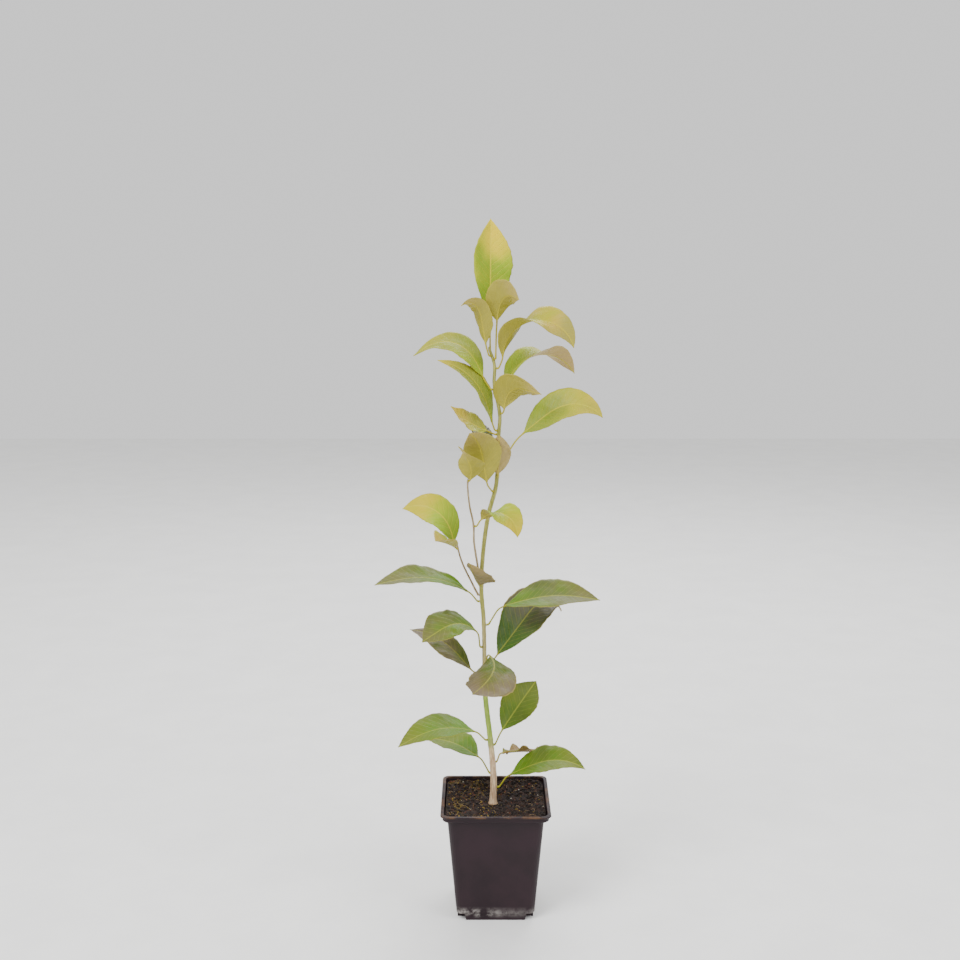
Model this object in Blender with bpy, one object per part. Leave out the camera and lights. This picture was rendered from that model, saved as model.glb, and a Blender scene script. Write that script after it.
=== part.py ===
"""A young lemon tree in a square plastic nursery pot.

Metres, +Z up, +X to the right and +Y to the back. The origin is the middle of
the pot's flat underside. The tree is one tapering stem, two thin side shoots
and single leaves, each leaf a petiole and a blade in one piece.
"""

import math
from dataclasses import dataclass

import bmesh
import bpy
from mathutils import Vector

MM = 0.001
GAP = 0.3 * MM  # clear space left between pieces that touch

# Pot, in millimetres
POT_HEIGHT = 95.0
LIP_HALF = 45.0  # half the width over the thin lip round the rim
LIP_DEEP = 1.4
RIM_HALF = 43.2  # half the width over the band below the lip
RIM_BOTTOM = 89.6  # height of the band's lower edge
BODY_TOP_HALF = 39.3
BODY_TOP = 88.4
BODY_LOW_HALF = 32.3
FOOT_HEIGHT = 6.0  # the body's corners end this high
FOOT_ARM_HALF = 24.2  # half the width of each side's foot on the ground
FOOT_REACH = 31.7
FOOT_SPREAD = 2.0  # how much wider each foot is where it meets the body
FOOT_SINK = 2.0  # how far the foot runs up inside the body
WALL = 1.5
CORNER = 5.5  # radius of the pot's upright corners
CORNER_STEPS = 5
DRAIN_RADIUS = 3.5
DRAIN_OFFSET = 17.0

# Soil, in millimetres
SOIL_LEVEL = 89.0
SOIL_EDGE = 92.6  # the soil's height where it meets the rim
SOIL_FLAT_HALF = 26.0  # the bank up to the rim begins this far out
SOIL_BANK = 14.0
SOIL_HEAP = 1.5  # a heap at the front left
SOIL_AT_STEM = 88.2
SOIL_STEM_FLAT = 6.5  # radius of the level patch under the stem
SOIL_ROUGH = 0.8
SOIL_RINGS = (1.0, 0.88, 0.74, 0.6, 0.46, 0.32, 0.2, 0.1)
LEDGE_FOOT = 87.6  # the soil's side turns out over the pot's ledge here

# Limbs
LIMB_SIDES = 8
STEM_STEP = 7.0  # distance between the rings of a limb, in millimetres

# Leaves
PETIOLE_RADIUS = 0.75
PETIOLE_FOOT = 1.0
PETIOLE_CROOK = 3.0  # distance over which a petiole turns up from its limb
PETIOLE_RINGS = (0.0, 0.1, 0.3, 0.62)
BLADE_RINGS = (0.03, 0.13, 0.26, 0.4, 0.54, 0.68, 0.81, 0.92, 1.0)
ACROSS = (1.0, 0.5, 0.0, -0.5, -1.0)
BLADE_THICK = 1.0
EDGE_SHARE = 0.6  # the blade's thickness at its edge, of that at the midrib
TIP_HALF = 0.5
TWIST_SPAN = 0.7  # how much of the blade a twist takes
TURTLE_STEPS = 60


@dataclass
class Limb:
    """A tapering limb through stations of (height, right, back, diameter), in millimetres."""

    name: str
    stations: tuple
    colour: tuple


@dataclass
class Leaf:
    """One leaf. Lengths are in millimetres and angles in degrees."""

    name: str
    limb: str
    height: float  # of the petiole's foot above the pot's underside
    heading: float  # 0 points right, 90 to the back, 180 left
    petiole: float
    rise: float  # of the blade where it begins, above level
    length: float
    width: float
    droop: float = 30.0  # how far the blade bends down on its way to the tip
    sweep: float = 0.0  # how far its heading turns to the left on that way
    roll: float = 0.0  # how far its left half is tipped up
    twist: float = 0.0  # how much more it rolls on the way to its tip
    twist_at: float = 0.5  # where along the blade half of that has been made
    fold: tuple = (12.0, 12.0)  # how far the left and right halves stand up
    sides: tuple = (1.0, 1.0)  # the left and right halves' share of half the width
    curl: float = 0.0  # how much further each half bends up towards its edge
    crest: float = 0.5  # where along the blade it bends
    span: float = 1.0  # how much of the blade the bend takes
    wave: float = 0.0  # height of the waves along the edge
    waves: float = 2.5
    belly: float = 0.45  # where along the blade it is widest
    petiole_rise: float = 45.0


STEM = Limb(
    "main_stem",
    (
        (88.5, -1.9, 0.0, 8.4),
        (92.0, -1.8, 0.0, 6.2),
        (113.0, -1.5, 0.4, 5.4),
        (144.0, -4.2, 1.0, 4.6),
        (184.0, -8.6, 1.6, 4.2),
        (217.0, -9.2, 1.0, 3.6),
        (247.0, -9.8, -0.4, 3.5),
        (272.0, -11.7, -1.0, 3.6),
        (300.0, -10.6, -0.4, 3.5),
        (333.0, -6.3, 0.8, 3.6),
        (360.0, 0.4, 2.0, 3.4),
        (400.0, 2.2, 2.4, 3.0),
        (416.0, 3.0, 1.8, 2.9),
        (440.0, -1.4, 0.6, 2.8),
        (456.0, -1.4, 0.0, 2.5),
        (470.0, -6.0, -0.6, 1.8),
    ),
    (0.32, 0.30, 0.10, 1.0),
)
SHOOT_LEFT = Limb(
    "shoot_left",
    (
        (268.0, -14.0, -2.0, 1.9),
        (277.0, -18.4, -3.4, 1.7),
        (297.0, -27.5, -5.4, 1.5),
        (313.0, -31.8, -6.0, 1.3),
    ),
    (0.20, 0.14, 0.06, 1.0),
)
SHOOT_MIDDLE = Limb(
    "shoot_middle",
    (
        (280.0, -12.6, -4.6, 2.1),
        (297.0, -15.2, -6.6, 1.8),
        (314.0, -17.6, -7.6, 1.7),
        (328.0, -18.0, -8.4, 1.6),
        (343.0, -21.0, -9.0, 1.5),
        (358.0, -22.6, -9.4, 1.4),
        (365.5, -22.4, -9.6, 1.3),
    ),
    (0.26, 0.22, 0.08, 1.0),
)
LIMBS = (STEM, SHOOT_LEFT, SHOOT_MIDDLE)

LEAVES = (
    Leaf(
        "leaf_01", "main_stem", 467, 88, 30, 85, 75, 36,
        droop=3, roll=24, fold=(20, 20), belly=0.54, petiole_rise=84,
    ),
    Leaf(
        "leaf_02", "main_stem", 463, -138, 12, 77, 48, 18,
        droop=105, crest=0.72, span=0.7, roll=6, twist=40, twist_at=0.8, fold=(30, 12), petiole_rise=68,
    ),
    Leaf(
        "leaf_03", "main_stem", 460, -55, 32, 82, 41, 30,
        droop=104, crest=0.5, roll=-30, twist=-35, sides=(0.6, 1.0), belly=0.55, petiole_rise=88,
    ),
    Leaf(
        "leaf_04", "main_stem", 453, -14, 12, 84, 82, 34,
        droop=158, crest=0.56, span=2.5, roll=-36, twist=82, fold=(25, 10), petiole_rise=67,
    ),
    Leaf(
        "leaf_05", "main_stem", 436, 172, 14, 65, 72, 28,
        droop=100, crest=0.5, span=0.9, roll=-28, fold=(5, 5), belly=0.38, petiole_rise=55,
    ),
    Leaf(
        "leaf_06", "main_stem", 403, -160, 9, 73, 72, 23,
        droop=57, crest=0.56, roll=-45, belly=0.35, petiole_rise=70,
    ),
    Leaf(
        "leaf_07", "main_stem", 434, 22, 10, 68, 76, 32,
        droop=126, crest=0.55, span=2, roll=28, twist=-68, twist_at=0.67, fold=(5, 40), petiole_rise=30,
    ),
    Leaf(
        "leaf_08", "main_stem", 417, -45, 6, 84, 50, 29,
        droop=92, crest=0.3, span=0.7, roll=-50, twist=-10, sides=(0.6, 1.0), belly=0.3, petiole_rise=60,
    ),
    Leaf(
        "leaf_09", "main_stem", 378, -9, 31, 40, 73, 32,
        droop=92, crest=0.8, span=1.2, roll=48, petiole_rise=58,
    ),
    Leaf(
        "leaf_10", "main_stem", 400, -165, 9, 24, 36, 22,
        droop=-22, roll=-40, belly=0.38, petiole_rise=25,
    ),
    Leaf("leaf_11", "main_stem", 388, 134, 8, 38, 36, 22, droop=12, petiole_rise=15),
    Leaf(
        "leaf_12", "main_stem", 354, -130, 13, 76, 48, 32,
        droop=50, crest=0.8, roll=34, belly=0.5, petiole_rise=44,
    ),
    Leaf("leaf_13", "main_stem", 366, -84, 4, 84, 35, 22, droop=22, petiole_rise=48),
    Leaf("leaf_14", "shoot_middle", 364, -60, 3, 62, 34, 24, droop=10, sweep=-130),
    Leaf(
        "leaf_15", "shoot_middle", 327, -26, 9, 46, 44, 28,
        droop=136, crest=0.52, span=2, roll=-60, twist=85, twist_at=0.22, petiole_rise=59,
    ),
    Leaf(
        "leaf_16", "shoot_left", 311, 160, 3, 82, 61, 32,
        droop=106, span=1.3, roll=-20, twist=-25, fold=(5, 5),
    ),
    Leaf(
        "leaf_17", "shoot_left", 308, -112, 5, 22, 42, 28,
        droop=8, fold=(20, 45), sides=(0.6, 1.0),
    ),
    Leaf(
        "leaf_18", "main_stem", 277, -112, 4, 40, 30, 32,
        droop=-15, fold=(-5, 50), sides=(1.2, 0.8), petiole_rise=30,
    ),
    Leaf(
        "leaf_19", "main_stem", 263, -171, 14, 32, 78, 34,
        droop=43, crest=0.35, span=1.1, roll=-12, belly=0.58, petiole_rise=52,
    ),
    Leaf("leaf_20", "main_stem", 243, -7, 24, 19, 78, 38, droop=28, roll=22, petiole_rise=60),
    Leaf(
        "leaf_21", "main_stem", 206, 25, 15, 48, 80, 46,
        droop=115, crest=0.8, span=0.6, roll=22, belly=0.55, petiole_rise=51,
    ),
    Leaf(
        "leaf_22", "main_stem", 224, -154, 18, 40, 51, 36,
        droop=66, crest=0.3, span=0.8, roll=-22, belly=0.58, petiole_rise=84,
    ),
    Leaf(
        "leaf_23", "main_stem", 199, 156, 12, 44, 64, 34,
        droop=43, crest=0.58, roll=-15, sides=(1.0, 0.6), petiole_rise=20,
    ),
    Leaf(
        "leaf_24", "main_stem", 203, -67, 23, -12, 54, 46,
        droop=14, sweep=-85, fold=(-14, -14), belly=0.72, petiole_rise=86,
    ),
    Leaf(
        "leaf_25", "main_stem", 139, 34, 15, 48, 50, 34,
        droop=4, roll=25, belly=0.58, petiole_rise=60,
    ),
    Leaf(
        "leaf_26", "main_stem", 144, -164, 15, 20, 67, 40,
        droop=45, crest=0.4, roll=-10, petiole_rise=48,
    ),
    Leaf("leaf_27", "main_stem", 114, 139, 19, 15, 59, 32, droop=28, roll=-8, petiole_rise=50),
    Leaf(
        "leaf_28", "main_stem", 124, 35, 11, -8, 42, 26,
        droop=6, roll=-18, wave=3, petiole_rise=68,
    ),
    Leaf(
        "leaf_29", "main_stem", 103, -7, 17, 27, 66, 34,
        droop=62, crest=0.8, span=1.3, roll=20, petiole_rise=58,
    ),
)


def rad(degrees):
    return math.radians(degrees)


def smooth(x):
    """A soft step from 0 to 1 as x goes from 0 to 1."""
    x = min(max(x, 0.0), 1.0)
    return x * x * (3.0 - 2.0 * x)


def along(values, places, at):
    """Catmull-Rom interpolation of values known at rising places."""
    last = len(places) - 1
    i = max(k for k in range(last) if at >= places[k] or k == 0)
    span = places[i + 1] - places[i]
    x = (at - places[i]) / span

    def slope(k):
        low, high = max(k - 1, 0), min(k + 1, last)
        return (values[high] - values[low]) / (places[high] - places[low]) * span

    a, b = values[i], values[i + 1]
    curve = (2 * x**3 - 3 * x**2 + 1) * a + (3 * x**2 - 2 * x**3) * b
    return curve + (x**3 - 2 * x**2 + x) * slope(i) + (x**3 - x**2) * slope(i + 1)


def limb_at(limb, height):
    """The limb's centre in metres and its radius, at a height in millimetres."""
    places = [s[0] for s in limb.stations]
    right, back, thick = (along([s[k] for s in limb.stations], places, height) for k in (1, 2, 3))
    return Vector((right, back, height)) * MM, thick / 2 * MM


def new_object(name, bm, colour, roughness=0.55):
    """Turns a bmesh into a smooth-shaded object with its own material."""
    bmesh.ops.recalc_face_normals(bm, faces=bm.faces)
    mesh = bpy.data.meshes.new(name)
    bm.to_mesh(mesh)
    bm.free()
    mesh.shade_smooth()
    mesh.set_sharp_from_angle(angle=rad(50))
    material = bpy.data.materials.new(name)
    material.use_nodes = True
    shader = material.node_tree.nodes["Principled BSDF"]
    shader.inputs["Base Color"].default_value = colour
    shader.inputs["Roughness"].default_value = roughness
    shader.inputs["Metallic"].default_value = 0.0
    material.diffuse_color = colour
    mesh.materials.append(material)
    obj = bpy.data.objects.new(name, mesh)
    bpy.context.scene.collection.objects.link(obj)
    return obj


def loft(rings, paired=False):
    """A closed body through rings of equally many points, with flat end caps.

    Paired rings run over and back under: both sides are then split along the same diagonals.
    """
    bm = bmesh.new()
    rows = [[bm.verts.new(point) for point in ring] for ring in rings]
    count = len(rows[0])
    for low, high in zip(rows, rows[1:]):
        for k in range(count):
            n = (k + 1) % count
            if not paired:
                bm.faces.new((low[k], low[n], high[n], high[k]))
            elif k < len(low) // 2:
                bm.faces.new((low[k], low[n], high[n]))
                bm.faces.new((low[k], high[n], high[k]))
            else:
                bm.faces.new((low[k], low[n], high[k]))
                bm.faces.new((low[n], high[n], high[k]))
    bm.faces.new(rows[0][::-1])
    bm.faces.new(rows[-1])
    return bm


def rounded_square(half, height, radius=CORNER):
    """Points round a square with rounded corners, in metres."""
    points = []
    for corner in range(4):
        middle = Vector((half - radius, half - radius))
        for step in range(CORNER_STEPS + 1):
            turn = rad(90 * step / CORNER_STEPS)
            x = middle.x + radius * math.cos(turn)
            y = middle.y + radius * math.sin(turn)
            quarter = rad(90 * corner)
            points.append(
                Vector(
                    (
                        (x * math.cos(quarter) - y * math.sin(quarter)) * MM,
                        (x * math.sin(quarter) + y * math.cos(quarter)) * MM,
                        height * MM,
                    )
                )
            )
    return points


def cross_outline(arm, reach, height):
    """Points round a cross: a square whose corners are cut out, in metres."""
    points = []
    for corner in range(4):
        quarter = rad(90 * corner)
        for x, y in ((reach, -arm), (reach, arm), (arm, arm)):
            points.append(
                Vector(
                    (
                        (x * math.cos(quarter) - y * math.sin(quarter)) * MM,
                        (x * math.sin(quarter) + y * math.cos(quarter)) * MM,
                        height * MM,
                    )
                )
            )
    return points


def body_half(height):
    """Half the width of the pot's body at a height, in millimetres."""
    share = (height - FOOT_HEIGHT) / (BODY_TOP - FOOT_HEIGHT)
    return BODY_LOW_HALF + (BODY_TOP_HALF - BODY_LOW_HALF) * share


def boolean(target, other, operation):
    """Joins or cuts target with other, which is then removed."""
    modifier = target.modifiers.new(operation.lower(), "BOOLEAN")
    modifier.operation = operation
    modifier.solver = "EXACT"
    modifier.object = other
    bpy.context.view_layer.update()
    graph = bpy.context.evaluated_depsgraph_get()
    mesh = bpy.data.meshes.new_from_object(target.evaluated_get(graph))
    target.modifiers.clear()
    target.data = mesh
    bpy.data.objects.remove(other)


def make_pot():
    colour = (0.045, 0.030, 0.036, 1.0)
    outer = [
        rounded_square(body_half(FOOT_HEIGHT), FOOT_HEIGHT),
        rounded_square(BODY_TOP_HALF, BODY_TOP),
        rounded_square(RIM_HALF - 0.8, RIM_BOTTOM),
        rounded_square(RIM_HALF, RIM_BOTTOM + 0.9),
        rounded_square(RIM_HALF, POT_HEIGHT - LIP_DEEP),
        rounded_square(LIP_HALF - 0.4, POT_HEIGHT - LIP_DEEP + 0.1),
        rounded_square(LIP_HALF, POT_HEIGHT - LIP_DEEP / 2),
        rounded_square(LIP_HALF - 0.4, POT_HEIGHT),
    ]
    pot = new_object("pot", loft(outer), colour, 0.5)
    foot_rings = [
        cross_outline(FOOT_ARM_HALF, FOOT_REACH - 0.4, 0.0),
        cross_outline(FOOT_ARM_HALF + FOOT_SPREAD, FOOT_REACH, FOOT_HEIGHT + FOOT_SINK),
    ]
    boolean(pot, new_object("foot_form", loft(foot_rings), colour), "UNION")
    inner_top = RIM_HALF - WALL
    inner = [
        rounded_square(body_half(FOOT_HEIGHT) - WALL, FOOT_HEIGHT + WALL),
        rounded_square(BODY_TOP_HALF - WALL, BODY_TOP - 0.4),
        rounded_square(inner_top - 0.6, RIM_BOTTOM + 1.0),
        rounded_square(inner_top, RIM_BOTTOM + 2.0),
        rounded_square(inner_top + 0.6, POT_HEIGHT + 1.0),
    ]
    boolean(pot, new_object("hollow_form", loft(inner), colour), "DIFFERENCE")
    for side_x in (-1, 1):
        for side_y in (-1, 1):
            drain = []
            for height in (-2.0, FOOT_HEIGHT + 4 * WALL):
                ring = []
                for k in range(12):
                    turn = rad(30 * k)
                    x = side_x * DRAIN_OFFSET + DRAIN_RADIUS * math.cos(turn)
                    y = side_y * DRAIN_OFFSET + DRAIN_RADIUS * math.sin(turn)
                    ring.append(Vector((x, y, height)) * MM)
                drain.append(ring)
            boolean(pot, new_object("drain_form", loft(drain), colour), "DIFFERENCE")
    return pot


def soil_height(x, y):
    """Height of the soil at a place, in millimetres, level under the stem."""
    stem = STEM.stations[0]
    away = math.hypot(x - stem[1], y - stem[2])
    rough = SOIL_ROUGH * math.sin(0.31 * x + 1.3) * math.cos(0.27 * y - 0.4)
    heap = SOIL_HEAP * smooth((-x - 10) / 25) * smooth((20 - y) / 30)
    out = smooth((max(abs(x), abs(y)) - SOIL_FLAT_HALF) / SOIL_BANK)
    open_soil = SOIL_LEVEL + rough + heap + (SOIL_EDGE - SOIL_LEVEL) * out
    near = 1.0 - smooth((away - SOIL_STEM_FLAT) / 10.0)
    return open_soil + (SOIL_AT_STEM - open_soil) * near


def soil_ring(half, height):
    """A closed line of points round the soil at one height."""
    return rounded_square(half, height)


def make_soil():
    """The soil: it fills the pot's body and lies over the ledge inside its rim."""
    clear = WALL + GAP / MM + 0.2
    low = FOOT_HEIGHT + WALL + GAP / MM
    ledge = RIM_BOTTOM + 2.0 + GAP / MM
    bm = bmesh.new()
    sizes = [
        (body_half(low) - clear, low),
        (body_half(LEDGE_FOOT) - clear, LEDGE_FOOT),
        (RIM_HALF - clear - 0.4, ledge),
    ]
    rows = []
    for half, height in sizes:
        rows.append([bm.verts.new(point) for point in soil_ring(half, height)])
    edge_half = RIM_HALF - clear - 0.4
    for share in SOIL_RINGS:
        ring = []
        for point in soil_ring(edge_half, 0.0):
            x, y = point.x / MM * share, point.y / MM * share
            height = max(soil_height(x, y), SOIL_LEVEL - 2.0)
            if share == SOIL_RINGS[0]:
                height = SOIL_EDGE
            ring.append(bm.verts.new(Vector((x, y, height)) * MM))
        rows.append(ring)
    count = len(rows[0])
    for under, over in zip(rows, rows[1:]):
        for k in range(count):
            n = (k + 1) % count
            bm.faces.new((under[k], under[n], over[n], over[k]))
    bm.faces.new(rows[0][::-1])
    middle = bm.verts.new(Vector((0.0, 0.0, SOIL_AT_STEM)) * MM)
    for k in range(count):
        bm.faces.new((rows[-1][k], rows[-1][(k + 1) % count], middle))
    return new_object("soil", bm, (0.020, 0.012, 0.008, 1.0), 0.95)


def limb_rings(limb):
    """Rings round a limb, level at its foot and square to it further on."""
    low, high = limb.stations[0][0], limb.stations[-1][0]
    count = max(int((high - low) / STEM_STEP), 4)
    extra = [limb.stations[1][0]] if limb is STEM else []
    heights = sorted(set([low + (high - low) * k / count for k in range(count + 1)] + extra))
    rings = []
    for height in heights:
        centre, radius = limb_at(limb, height)
        below, _ = limb_at(limb, max(height - 1.0, low))
        above, _ = limb_at(limb, min(height + 1.0, high))
        axis = Vector((0, 0, 1)) if height == low else (above - below).normalized()
        side = axis.cross(Vector((0, 1, 0))).normalized()
        other = axis.cross(side)
        ring = []
        for k in range(LIMB_SIDES):
            turn = 2 * math.pi * k / LIMB_SIDES
            ring.append(centre + (side * math.cos(turn) + other * math.sin(turn)) * radius)
        rings.append(ring)
    return rings


def heading_vectors(heading, rise):
    """The forward, left and upper directions of a level or rising leaf."""
    a, r = rad(heading), rad(rise)
    forward = Vector((math.cos(r) * math.cos(a), math.cos(r) * math.sin(a), math.sin(r)))
    left = Vector((-math.sin(a), math.cos(a), 0.0))
    return forward, left, forward.cross(left)


def turned(a, b, degrees):
    """Turns a towards b, and b away from a, both at right angles."""
    c, s = math.cos(rad(degrees)), math.sin(rad(degrees))
    return a * c + b * s, b * c - a * s


def bend_share(leaf, t):
    """How much of a blade's whole bend has been made at t."""
    low = smooth(0.5 - leaf.crest / leaf.span)
    high = smooth(0.5 + (1.0 - leaf.crest) / leaf.span)
    return (smooth((t - leaf.crest) / leaf.span + 0.5) - low) / (high - low)


def leaf_path(leaf, limb):
    """Centre line and directions: petiole and blade, each as {share: frame}."""
    centre, radius = limb_at(limb, leaf.height)
    outward = heading_vectors(leaf.heading, 0.0)[0]
    place = centre + outward * (radius + GAP)
    petiole, blade = [], []
    step = leaf.petiole * MM / TURTLE_STEPS
    for k in range(TURTLE_STEPS + 1):
        s = k / TURTLE_STEPS
        rise = leaf.petiole_rise * smooth(s * leaf.petiole / PETIOLE_CROOK)
        rise += (leaf.rise - leaf.petiole_rise) * smooth((s - 0.5) / 0.5)
        forward, left, upper = heading_vectors(leaf.heading, rise)
        left, upper = turned(left, upper, leaf.roll * s)
        petiole.append((s, place.copy(), forward, left, upper))
        place = place + forward * step
    step = leaf.length * MM / TURTLE_STEPS
    for k in range(TURTLE_STEPS + 1):
        t = k / TURTLE_STEPS
        share = bend_share(leaf, t)
        rise = leaf.rise - leaf.droop * share
        forward, left, upper = heading_vectors(leaf.heading + leaf.sweep * t, rise)
        twisted = leaf.twist * smooth((t - leaf.twist_at) / TWIST_SPAN + 0.5)
        left, upper = turned(left, upper, leaf.roll + twisted)
        blade.append((t, place.copy(), forward, left, upper))
        place = place + forward * step
    return petiole, blade


def frame_at(path, share):
    return min(path, key=lambda frame: abs(frame[0] - share))


def half_width(leaf, t):
    """Half the blade's width at t, in millimetres: broad below, drawn out at the tip."""
    if t < leaf.belly:
        shape = math.sin(math.pi / 2 * t / leaf.belly) ** 0.8
    else:
        shape = math.sin(math.pi / 2 * (1 - t) / (1 - leaf.belly)) ** 1.0
    return max(leaf.width / 2 * shape, TIP_HALF)


def across_blade(leaf, t, u):
    """Sideways and upward offset of a point u of the way to the edge, in millimetres."""
    wide = half_width(leaf, t) * abs(u) * (leaf.sides[0] if u > 0 else leaf.sides[1])
    begin = rad(leaf.fold[0] if u > 0 else leaf.fold[1])
    end = begin + rad(leaf.curl) * abs(u)
    if abs(end - begin) < 1e-6:
        out, up = wide * math.cos(begin), wide * math.sin(begin)
    else:
        out = wide * (math.sin(end) - math.sin(begin)) / (end - begin)
        up = wide * (math.cos(begin) - math.cos(end)) / (end - begin)
    phase = 2 * math.pi * leaf.waves * t + (0.0 if u > 0 else 2.2)
    up += leaf.wave * math.sin(phase) * u * u * math.sin(math.pi * t)
    return math.copysign(out, u), up


def petiole_ring(frame, radius):
    _, place, _, left, upper = frame
    ring = []
    for k in range(2 * len(ACROSS)):
        turn = rad(18 + 36 * k)
        ring.append(place + (left * math.cos(turn) + upper * math.sin(turn)) * radius * MM)
    return ring


def blade_ring(leaf, frame):
    t, place, _, left, upper = frame
    top, under = [], []
    for u in ACROSS:
        out, up = across_blade(leaf, t, u)
        half = BLADE_THICK / 2 * (1 - (1 - EDGE_SHARE) * abs(u))
        tilt = rad(leaf.fold[0] if u > 0 else leaf.fold[1]) + rad(leaf.curl) * abs(u)
        lean = math.copysign(1.0, u) * math.sin(tilt) if u else 0.0
        face = upper * math.cos(tilt if u else 0.0) - left * lean
        middle = place + left * (out * MM) + upper * (up * MM)
        top.append(middle + face * (half * MM))
        under.append(middle - face * (half * MM))
    return top + under[::-1]


def make_leaf(leaf, limb):
    petiole, blade = leaf_path(leaf, limb)
    rings = []
    for s in PETIOLE_RINGS:
        radius = PETIOLE_FOOT + (PETIOLE_RADIUS - PETIOLE_FOOT) * min(s / 0.3, 1.0)
        rings.append(petiole_ring(frame_at(petiole, s), radius))
    rings += [blade_ring(leaf, frame_at(blade, t)) for t in BLADE_RINGS]
    young = smooth((leaf.height - 250) / 200)
    colour = tuple(a + (b - a) * young for a, b in zip((0.10, 0.16, 0.03), (0.45, 0.48, 0.05)))
    return new_object(leaf.name, loft(rings, paired=True), (*colour, 1.0), 0.45)


def clear_scene():
    for obj in list(bpy.data.objects):
        bpy.data.objects.remove(obj)


def main():
    clear_scene()
    make_pot()
    make_soil()
    for limb in LIMBS:
        new_object(limb.name, loft(limb_rings(limb)), limb.colour, 0.6)
    limbs = {limb.name: limb for limb in LIMBS}
    for leaf in LEAVES:
        make_leaf(leaf, limbs[leaf.limb])


main()
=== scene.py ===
"""Looks for a young lemon tree in a square nursery pot: leaves, bark, soil and pot."""

import math
import random
from dataclasses import dataclass

import bmesh
import bpy
from mathutils import Euler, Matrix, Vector, noise


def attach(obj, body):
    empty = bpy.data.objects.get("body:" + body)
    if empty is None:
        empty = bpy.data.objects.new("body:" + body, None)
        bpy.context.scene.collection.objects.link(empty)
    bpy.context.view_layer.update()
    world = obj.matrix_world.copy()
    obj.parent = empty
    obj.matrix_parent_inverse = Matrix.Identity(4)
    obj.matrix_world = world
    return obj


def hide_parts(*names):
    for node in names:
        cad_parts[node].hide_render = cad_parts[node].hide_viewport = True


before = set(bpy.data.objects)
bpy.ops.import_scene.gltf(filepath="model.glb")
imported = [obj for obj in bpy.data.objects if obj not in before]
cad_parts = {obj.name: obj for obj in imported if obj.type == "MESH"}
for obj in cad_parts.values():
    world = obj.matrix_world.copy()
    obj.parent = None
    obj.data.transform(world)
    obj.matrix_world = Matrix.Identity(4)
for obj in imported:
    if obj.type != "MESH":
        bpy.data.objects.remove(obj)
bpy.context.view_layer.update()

MM = 0.001
GAP = 0.3  # between a petiole and its limb, and between the soil and the pot, in millimetres

# Camera, at the photograph's angle
PHOTO_PIXELS = 960
LENS = 50.0
SENSOR = 36.0
CAMERA_AT = (-0.0128, -1.0593, 0.5368)
CAMERA_DOWN = 9.311  # degrees below level

# Stage: place and side of each soft light in metres, and its power in watts
LIGHTS = (
    ((-1.0, -1.1, 1.9), 0.9, 44.0),
    ((1.3, -0.9, 1.3), 1.0, 13.0),
    ((0.2, 1.2, 1.6), 1.2, 26.0),
)
LIT_PLACE = (0.0, 0.0, 0.3)
FLOOR_HALF = 3.0

# Leaves, in millimetres
PETIOLE_RADIUS = 0.62
PETIOLE_FOOT = 0.95  # its radius at the limb
PETIOLE_TAPER = 0.25  # the share of it that narrows from its foot
PETIOLE_CROOK = 3.0  # the length in which it bends away from the limb
PETIOLE_TURN = 0.5  # from this share of it on, it turns to the blade's rise
PETIOLE_RINGS = 14
BLADE_RINGS = 46
BLADE_START = 0.012  # the first ring's place along the blade
BLADE_OPEN = 0.07  # where along the blade the petiole has flattened out
HALF_COLUMNS = 9
COLUMNS = [1.0 - k / HALF_COLUMNS for k in range(2 * HALF_COLUMNS + 1)]
BLADE_THICK = 0.42
EDGE_THINNING = 0.55  # the share of its thickness that a blade loses at the margin
TIP_HALF = 0.15
BLUNT_BASE = 0.8  # below 1 makes the blade's base blunter
TWIST_SPAN = 0.7  # the share of the blade that a twist takes
TURTLE_STEPS = 120
RIB_DEEP = 0.35  # how far the midrib stands out below
RIB_SUNK = 0.1  # how far it is sunk above
RIB_WIDE = 0.8
RIB_TAPER = 0.75  # the share of its depth that it loses on the way to the tip
VEIN_SPACING = 5.2
VEIN_SLANT = 0.85  # how far a side vein climbs per millimetre outwards
QUILT_HIGH = 0.2  # how far the blade swells between side veins
LEAF_SEED = 0.7  # a leaf's noise starts at its height times this
WAVE_SHIFT = 2.2  # radians between the waves of the two margins
LOOSE = 1.0  # how far a blade's surface rolls with no painted sheen
LOOSE_WITH_SHEEN = 3.0  # how much further on a leaf that the painted sheen covers fully
LOOSE_AHEAD = 1.15  # it is strongest a little before the middle of the blade
LOOSE_LAST = 0.97  # leaves a little of it at the tip
SOFT_RATE = (5.0, 1.6)  # along and across the blade
CREASE_RATE = (12.0, 3.5)
CREASE_SLICE = 9.0
CREASE = 0.45  # the share of small creases in it

# What each of a leaf's points knows of its place: 1 above and 0 below, share of the blade's
# length, millimetres from the midrib, share of the way to the margin, millimetres down the blade
MARKS = ("upper_side", "along_blade", "from_midrib", "edge_share", "down_blade")

# Margins: rate of a noise along the blade, its reach as a share of the half width, and its slice
WANDER = ((7.0, 0.045, 0.0), (19.0, 0.02, 3.0))
MARGIN_SEED = 0.37
OTHER_MARGIN = 5.0  # the two margins' noises lie this far apart
TEETH = 74.0  # radians of teeth along the blade
TOOTH_DEEP = 0.012  # as a share of the half width

# Limbs, in millimetres
LIMB_SIDES = 28
LIMB_STEP = 1.0
BARK_RELIEF = 0.11
BARK_INSET = 0.05  # draws the bark in, so that its cracks lie about the solid's surface
BARK_STRETCH = 0.16  # cracks run along the limb
BARK_LUMPS = 3  # cracks' rate around it
BARK_FRACTAL = (0.6, 2.2, 4)  # roughness, step in size and octaves
OLD_BARK = 150.0  # below this height the bark gets rougher,
OLD_BARK_SPAN = 50.0  # within this length
OLD_BARK_MORE = 0.8
NODE_SWELL = 0.14  # how much a limb thickens where a petiole leaves it
NODE_SPAN = 3.0
TIP_SPAN = 1.5
TIP_SHRINK = 0.6

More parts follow.
